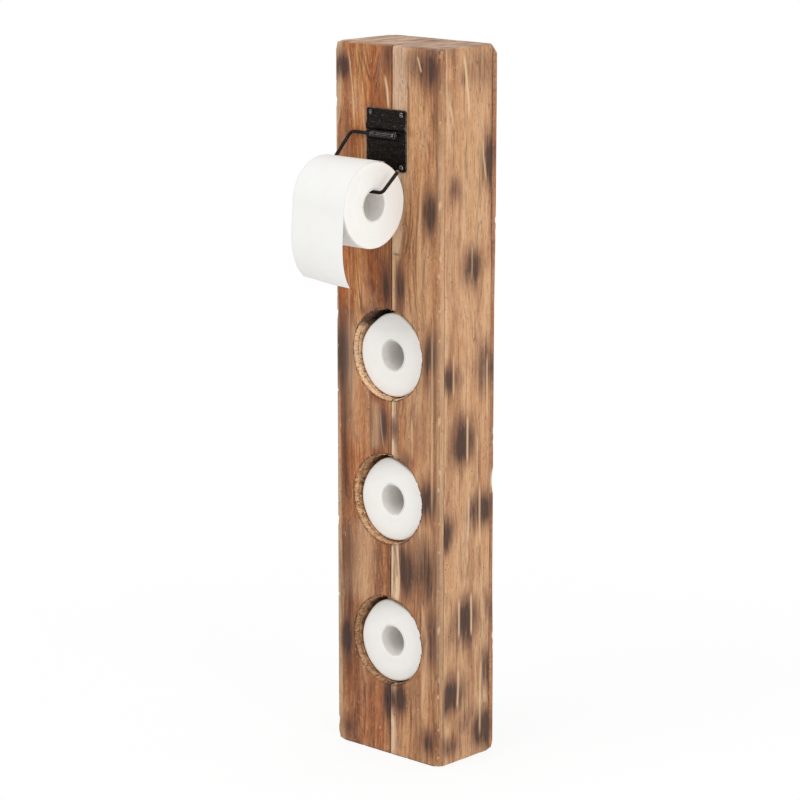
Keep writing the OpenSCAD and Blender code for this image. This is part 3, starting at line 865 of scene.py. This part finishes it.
def close_tree(shape, finish):
    """Ends a tree in real geometry with its finish set."""
    shape = shape.node("GeometryNodeSetShadeSmooth", (), {"Geometry": shape, "Shade Smooth": True})
    shape = shape.node("GeometryNodeRealizeInstances", (), {"Geometry": shape})
    shape = shape.node("GeometryNodeSetMaterial", (), {"Geometry": shape, "Material": finish})
    leave = shape.tree.nodes.new("NodeGroupOutput")
    shape.tree.links.new(shape.output, leave.inputs[0])
    return shape.tree


def grow(name, tree, mesh=None, **values):
    """Runs a tree with its inputs set, and keeps the result as a plain mesh."""
    piece = new_piece(name, mesh or bpy.data.meshes.new(name + "_seed"))
    modifier = piece.modifiers.new("maker", "NODES")
    modifier.node_group = tree
    for item in tree.interface.items_tree:
        if item.in_out == "INPUT" and item.name in values:
            modifier[item.identifier] = values[item.name]
    grown = final_mesh(piece)
    piece.modifiers.clear()
    piece.data = grown
    return piece


screw_steel, shader, start = new_finish("rubbed_screw")
place = own_place(start)
height = attribute(start, "head_height")
# Painted highlight: a light, more metallic ring round the shoulder of each dome
painted_highlight = step_up(height, 0.15, 0.35) * (1 - step_up(height, 0.60, 0.80))
painted_highlight = painted_highlight * step_up(noise(place, 260.0, 2.0, 0.6), 0.42, 0.56)
feed(shader, Base_Color=blend(painted_highlight, tone(24, 21, 19), bright_steel),
     Metallic=0.15 + painted_highlight * 0.8, Roughness=0.32 + noise(place, 900.0, 3.0, 0.6) * 0.25)

start, (places, radius, high, shank, length, seed, material) = new_tree(
    "pan_head_screws", Places="Geometry", Radius="Float", Height="Float", Shank="Float",
    Length="Float", Seed="Int", Finish="Material")
head = start.node("GeometryNodeMeshUVSphere", (), {"Segments": 48, "Rings": 32, "Radius": 1.0})
x, y, z = parts_of(start.node("GeometryNodeInputPosition"))
domed = as_vector(start, X=x * radius, Y=y * radius, Z=z.maths("MAXIMUM", 0.0) ** 0.8 * high)
head = start.node("GeometryNodeSetPosition", (), {"Geometry": head, "Position": domed})
for sizes in ((recess_width, recess_length), (recess_length, recess_width)):
    slot = start.node("GeometryNodeMeshCube", (), {"Size": (*sizes, 2 * recess_depth)})
    slot = start.node("GeometryNodeTransform", (), {
        "Geometry": slot, "Translation": as_vector(start, Z=high)})
    head = start.node("GeometryNodeMeshBoolean", {"operation": "DIFFERENCE", "solver": "EXACT"}, {
        "Mesh 1": head, "Mesh 2": slot})
rod = start.node("GeometryNodeMeshCylinder", (), {"Vertices": 24, "Radius": shank, "Depth": length})
rod = start.node("GeometryNodeTransform", (), {
    "Geometry": rod, "Translation": as_vector(start, Z=length * -0.5)})
screw = start.node("GeometryNodeJoinGeometry", (), {0: head})
screw.tree.links.new(rod.output, screw.output.node.inputs[0])
_, _, up = parts_of(start.node("GeometryNodeInputPosition"))
screw = stored(screw, "head_height", up / high)
spin = start.node("FunctionNodeRandomValue", {"data_type": "FLOAT"}, {
    "Min": 0.0, "Max": math.pi, "Seed": seed}, output=1)
screws = start.node("GeometryNodeInstanceOnPoints", (), {
    "Points": places, "Instance": screw, "Rotation": as_vector(start, X=math.pi / 2, Y=spin)})
screw_tree = close_tree(screws, material)

screw_names = [name for name in nodes if name.startswith("plate_screw")]
seat_y = column_low[1] - plate_thickness
seats = []
for name in screw_names:
    low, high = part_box(name)
    seats.append(((low.x + high.x) / 2, seat_y, (low.z + high.z) / 2))
seat_mesh = bpy.data.meshes.new("screw_places")
seat_mesh.from_pydata(seats, [], [])
screws = grow("plate_screws", screw_tree, seat_mesh, Radius=head_radius, Height=head_height,
              Shank=shank_radius, Length=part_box("plate_screw_1")[1].y - seat_y, Seed=5,
              Finish=screw_steel)
show(screws, "column", "screw", *screw_names)

# Hanger
# One length of 5 mm steel wire in satin black lacquer, bent by hand at three places. It turns in
# the plate's knuckle, and its bar carries the roll. The stub at the end keeps the roll on.
wire_radius = 2.5 * mm
bend_radius = 6.5 * mm
wire_step = 1.2 * mm
pivot_end_x = 21 * mm
arm_top_x = -62.45 * mm
arm_foot_x = -71.45 * mm
bar_end_x = 47.25 * mm
stub_splay = 8.3 * mm
stub_length = 37 * mm
bar = np.array(joints["roll_hang"]["pos_m"])
arm_way = (pivot - bar) / np.linalg.norm(pivot - bar)
stub_end = bar + arm_way * math.sqrt(stub_length ** 2 - stub_splay ** 2)
wire_corners = [(pivot_end_x, *pivot[1:]), (arm_top_x, *pivot[1:]), (arm_foot_x, *bar[1:]),
                (bar_end_x, *bar[1:]), (bar_end_x + stub_splay, *stub_end[1:])]

start, (route, radius, bend, step, material) = new_tree(
    "bent_wire", Route="Geometry", Radius="Float", Bend="Float", Step="Float", Finish="Material")
line = start.node("GeometryNodeMeshToCurve", (), {"Mesh": route})
line = start.node("GeometryNodeFilletCurve", {"mode": "POLY"}, {
    "Curve": line, "Radius": bend, "Limit Radius": True, "Count": 10})
line = start.node("GeometryNodeResampleCurve", {"mode": "LENGTH"}, {"Curve": line, "Length": step})
ring = start.node("GeometryNodeCurvePrimitiveCircle", (), {"Resolution": 28, "Radius": radius})
wire = start.node("GeometryNodeCurveToMesh", (), {
    "Curve": line, "Profile Curve": ring, "Fill Caps": True})
wire_tree = close_tree(wire, material)

route = bpy.data.meshes.new("wire_route")
route.from_pydata(wire_corners, [(i, i + 1) for i in range(len(wire_corners) - 1)], [])
satin_lacquer = lacquered("satin_lacquer", tone(26, 22, 20), tone(36, 31, 28), tone(150, 143, 135),
                          0.12 * mm, 0.26, 0.42)
wire = grow("bent_wire", wire_tree, route, Radius=wire_radius, Bend=bend_radius, Step=wire_step,
            Finish=satin_lacquer)
points = read_points(wire.data.vertices)
from_ends = [np.linalg.norm(points - wire_corners[end], axis=1) for end in (0, -1)]
mark_points(wire.data, "rubbed", 1 - soft_step(np.min(from_ends, axis=0), 2.2 * mm, 3.2 * mm))
show(wire, "hanger", "hanger", "hanger")

# Rolls
# Four rolls of soft white tissue, one on the bar and three standing in the bores. Each is wound
# round a pale grey tube of spiral-wound board. Their cut ends show the layers, and the stored ones
# are pushed in by hand, which pinches a soft corner at the top.
layer_depth = 0.5 * mm
paper_round = 1.6 * mm
ring_steps = 170
profile_step = 1.6 * mm
spiral_pitch = 62 * mm
tube_wall = 1 * mm
# A pinched corner: angles from its tip in radians, and how far it leans for its pinch
shoulder_tip, shoulder_peak, shoulder_end = 0.05, 0.65, 1.5
lean_end = 1.2
lean_share = 3.0
low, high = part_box("hanging_roll_paper")
roll_outer = (high.z - low.z) / 2
roll_width = high.x - low.x
low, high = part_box("hanging_roll_core")
tube_outer = (high.z - low.z) / 2

sizes = ("Outer", "Inner", "Width", "Rounding", "Pressed", "Layers", "Apex", "Pinch", "Skew",
         "Seed")
start, (outer, inner, width, rounding, pressed, layers, apex, pinch, skew, seed, material) = (
    new_tree("wound_ring", **dict.fromkeys(sizes, "Float"), Finish="Material"))
ring = start.node("GeometryNodeCurvePrimitiveCircle", (), {
    "Resolution": ring_steps, "Radius": (outer + inner) * 0.5})
wall = start.node("GeometryNodeCurvePrimitiveQuadrilateral", (), {
    "Width": outer - inner, "Height": width})
wall = start.node("GeometryNodeFilletCurve", {"mode": "POLY"}, {
    "Curve": wall, "Radius": rounding, "Limit Radius": True, "Count": 4})
wall = start.node("GeometryNodeResampleCurve", {"mode": "LENGTH"}, {
    "Curve": wall, "Length": profile_step})
tube = start.node("GeometryNodeCurveToMesh", (), {"Curve": ring, "Profile Curve": wall})
x, y, z = parts_of(start.node("GeometryNodeInputPosition"))
flat = as_vector(start, X=x, Y=y, Z=seed)
reach = (x * x + y * y) ** 0.5
outward = step_up(reach, inner, outer)
dent = noise(flat, 24.0, 2.0) * 1.6 - 0.3
turned = x.maths("ARCTAN2", y) - apex
away = turned.maths("ABSOLUTE")
shoulder = step_up(away, shoulder_tip, shoulder_peak)
shoulder = shoulder * (1 - step_up(away, shoulder_peak, shoulder_end))
drawn = pinch * shoulder * (turned.maths("SIGN") * skew + 1)
shrink = 1 - (dent * pressed + drawn) * outward / reach
ply = noise_along(reach * 420 + seed)
sag = noise(flat, 30.0, 1.0) * 0.8
leaning = pinch * (1 - step_up(away, 0.0, lean_end)) * outward * lean_share
shorten = 1 - ((ply + sag) * layers + leaning) / width
moved = as_vector(start, X=x * shrink, Y=y * shrink, Z=z * shorten)
tube = start.node("GeometryNodeSetPosition", (), {"Geometry": tube, "Position": moved})
tube = stored(tube, "local", start.node("GeometryNodeInputPosition"), "FLOAT_VECTOR")
ring_tree = close_tree(tube, material)

tissue, shader, start = new_finish("soft_tissue")
place = attribute(start, "local", "Vector")
x, y, z = parts_of(place)
cut_end = step_up(z.maths("ABSOLUTE"), roll_width / 2 - paper_round, roll_width / 2 - 0.9 * mm)
layers = noise_along((x * x + y * y) ** 0.5 * 1500, 3.0)
crepe = noise(scaled(place, (1, 1, 6)), 380.0, 3.0, 0.6)
edge = blend(step_up(layers, 0.38, 0.66), tone(238, 236, 231), tone(250, 249, 245))
body = blend(crepe, tone(236, 235, 232), tone(243, 243, 240))
colour = blend(step_up(noise(place, 45.0), 0.45, 0.75) * 0.25, blend(cut_end, body, edge),
               tone(234, 232, 227))
feed(shader, Base_Color=colour, Roughness=0.88 + crepe * 0.1, Specular_IOR_Level=0.2,
     Normal=bumps(crepe * 0.7 + layers * cut_end, 0.3, 0.12 * mm))

wound_board, shader, start = new_finish("wound_board")
place = attribute(start, "local", "Vector")
x, y, z = parts_of(place)
turns = y.maths("ARCTAN2", x) / (2 * math.pi) + z / spiral_pitch
joint = 1 - step_up((turns.maths("FRACT") - 0.5).maths("ABSOLUTE"), 0.004, 0.012)
fluff = noise(place, 420.0, 4.0, 0.7)
colour = blend(fluff, tone(240, 236, 231), tone(250, 248, 243))
colour = blend(noise(place, 60.0) * 0.3, colour, tone(228, 222, 215))
colour = blend(joint * 0.35, colour, tone(160, 151, 142))
feed(shader, Base_Color=colour, Roughness=0.85, Normal=bumps(fluff, 0.3, 0.1 * mm))


def wind_roll(name, body, turn, seed, pressed, **crushed):
    """Paper and tube of one roll, wound about Z and then turned and moved to the CAD roll's place.
    crushed holds the angle, depth and skew of the corner that its bore has pinched in it."""
    low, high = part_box(name + "_paper")
    put = Matrix.Translation((low + high) / 2) @ turn
    paper = grow(name + "_tissue", ring_tree, Outer=roll_outer, Inner=tube_outer + 0.1 * mm,
                 Width=roll_width, Rounding=paper_round, Pressed=pressed, Layers=layer_depth,
                 Seed=seed, Finish=tissue, **crushed)
    paper.data.transform(put)
    show(paper, body, "tissue", name + "_paper")
    tube = grow(name + "_tube", ring_tree, Outer=tube_outer, Inner=tube_outer - tube_wall,
                Width=roll_width, Rounding=0.3 * mm, Pressed=0.0, Layers=0.4 * layer_depth,
                Seed=seed + 3, Finish=wound_board)
    tube.data.transform(put)
    show(tube, body, "roll_core", name + "_core")
    return paper


across = Matrix.Rotation(math.pi / 2, 4, "Y")
forward = Matrix.Rotation(math.pi / 2, 4, "X")
hanging_paper = wind_roll("hanging_roll", "hanging_roll", across, 2.0, 0.3 * mm)
for number, apex, pinch, skew in (
        (1, -0.1, 2.8 * mm, 0.0), (2, -0.35, 3.0 * mm, 0.5), (3, -0.4, 2.8 * mm, 0.45)):
    roll = f"spare_roll_{number}"
    wind_roll(roll, roll, forward, 7.0 * number, 1.2 * mm, Apex=apex, Pinch=pinch, Skew=skew)

# Loose sheet
# The roll's last turn of tissue: it lifts off behind the crown, lies down over the front and
# hangs free. Its lower end curls back towards the column, the left corner more than the right.
sheet_thickness = 0.36 * mm
wrap_angle = math.radians(110)
hang_length = 107.6 * mm
sheet_columns, wrap_rows, hang_rows = 54, 60, 90
left_start, left_end, left_power = math.radians(-9), math.radians(50), 2.0
right_start, right_end, right_power = math.radians(-5), math.radians(36), 3.0
ripple = 0.7 * mm
tail_start = 0.2

sheet_low, sheet_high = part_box("loose_sheet")
roll_centre = np.array(joints["roll_spin"]["pos_m"])
wrap_radius = roll_outer + seat_gap + sheet_thickness / 2
sheet_width = sheet_high.x - sheet_low.x

share = np.linspace(0, 1, sheet_columns)[:, None]
wrap = np.linspace(wrap_angle, 0, wrap_rows, endpoint=False)[None, :]
wrap_out = wrap_radius * np.cos(wrap) + 0 * share
wrap_up = wrap_radius * np.sin(wrap) + 0 * share
hang = np.linspace(0, 1, hang_rows)[None, :]
begin = left_start + (right_start - left_start) * share
finish_angle = left_end + (right_end - left_end) * share
power = left_power + (right_power - left_power) * share
settle = np.clip(hang / 0.25, 0, 1)
heading = begin * settle * (2 - settle) + (finish_angle - begin) * hang ** power
step = hang_length / (hang_rows - 1)
hang_out = wrap_radius - np.cumsum(np.sin(heading), axis=1) * step
hang_up = -np.cumsum(np.cos(heading), axis=1) * step
hang_out = hang_out + ripple * np.sin(share * 9.0 + hang * 2.5) * hang ** 2
out = np.concatenate([wrap_out, hang_out], axis=1)
up = np.concatenate([wrap_up, hang_up], axis=1)
rows = wrap_rows + hang_rows
grid = np.stack([sheet_low.x + sheet_width * share + 0 * out, roll_centre[1] - out,
                 roll_centre[2] + up], axis=2)
faces = [(i * rows + j, i * rows + j + 1, (i + 1) * rows + j + 1, (i + 1) * rows + j)
         for i in range(sheet_columns - 1) for j in range(rows - 1)]
mesh = bpy.data.meshes.new("loose_sheet_tissue")
mesh.from_pydata(grid.reshape(-1, 3).tolist(), [], faces)
mesh.materials.append(tissue)
layer = mesh.attributes.new("local", "FLOAT_VECTOR", "POINT")
flat_length = wrap_angle * wrap_radius + hang_length
travel = np.linspace(0, flat_length, rows)[None, :] + 0 * share
own = np.stack([travel + tail_start, 0 * travel, (share - 0.5) * 0.9 * sheet_width + 0 * travel],
               axis=2)
layer.data.foreach_set("vector", np.ascontiguousarray(own.reshape(-1), np.float32))
sheet = new_piece("loose_sheet_tissue", mesh)
thicken = sheet.modifiers.new("thickness", "SOLIDIFY")
thicken.thickness = sheet_thickness
thicken.offset = 0
show(sheet, "loose_sheet", "tissue", "loose_sheet")

# Studio
# A white floor that keeps a faint shadow round the column's foot, soft lamps above and at one side, and the
# photograph's camera.
floor_half = 20.0
shadow_reach = 1.4
shadow_depth = 0.14
room_light, backdrop_light = 0.78, 1.0
aim_height = 0.5
camera_place = (2.7752, -3.0391, 1.4169)
camera_dip = math.radians(12.53)
camera_turn = math.radians(42.71)
film_width = 36
focal_length = 136.3
scene = bpy.context.scene
scene.view_settings.view_transform = "Standard"


def seen_directly(start):
    """1 for what the camera or a reflection sees, 0 for light that falls on things."""
    rays = start.node("ShaderNodeLightPath")
    seen = rays
    for name in ("Is Glossy Ray", "Is Transmission Ray"):
        seen = seen.maths("MAXIMUM", Socket(start.tree, rays.output.node.outputs[name]))
    return seen


finish, shader, start = new_finish("white_floor")
feed(shader, Base_Color=(0.92, 0.92, 0.92, 1), Roughness=1.0)
away = start.node("ShaderNodeVectorMath", {"operation": "LENGTH"}, {0: own_place(start)}, "Value")
glow = start.node("ShaderNodeEmission", (), {"Color": (1, 1, 1, 1), "Strength": 1.0})
plain = start.node("ShaderNodeBsdfDiffuse", (), {"Color": (1, 1, 1, 1)})
faint = start.node("ShaderNodeMixShader", (), {
    0: 1 - (1 - step_up(away, 0.3 * shadow_reach, shadow_reach)) * shadow_depth, 1: plain, 2: glow})
shown = start.node("ShaderNodeMixShader", (), {
    0: seen_directly(start), 1: Socket(start.tree, shader.outputs[0]), 2: faint})
start.tree.links.new(shown.output, start.tree.nodes["Material Output"].inputs["Surface"])

mesh = bpy.data.meshes.new("floor")
corners = [(x * floor_half, y * floor_half, 0) for x, y in ((-1, -1), (1, -1), (1, 1), (-1, 1))]
mesh.from_pydata(corners, [], [(0, 1, 2, 3)])
mesh.materials.append(finish)
new_piece("floor", mesh)

world = bpy.data.worlds.new("white_room")
scene.world = world
world.use_nodes = True
start = Socket(world.node_tree)
room, backdrop = (
    start.node("ShaderNodeBackground", (), {"Color": (1, 1, 1, 1), "Strength": strength})
    for strength in (room_light, backdrop_light))
sky = start.node("ShaderNodeMixShader", (), {0: seen_directly(start), 1: room, 2: backdrop})
start.tree.links.new(sky.output, world.node_tree.nodes["World Output"].inputs["Surface"])

for name, place, size, power in (
        ("key", (-0.6, -2.6, 3.4), 1.6, 29), ("side", (3.4, -0.8, 1.9), 1.8, 35)):
    lamp = bpy.data.lights.new(name, "AREA")
    lamp.shape = "SQUARE"
    lamp.size = size
    lamp.energy = power
    holder = new_piece(name, lamp)
    holder.location = place
    aim = Vector((0, 0, aim_height)) - Vector(place)
    holder.rotation_euler = aim.to_track_quat("-Z", "Y").to_euler()

camera = new_piece("camera", bpy.data.cameras.new("camera"))
camera.data.sensor_width = film_width
camera.data.lens = focal_length
camera.location = camera_place
camera.rotation_euler = (math.pi / 2 - camera_dip, 0, camera_turn)
scene.camera = camera
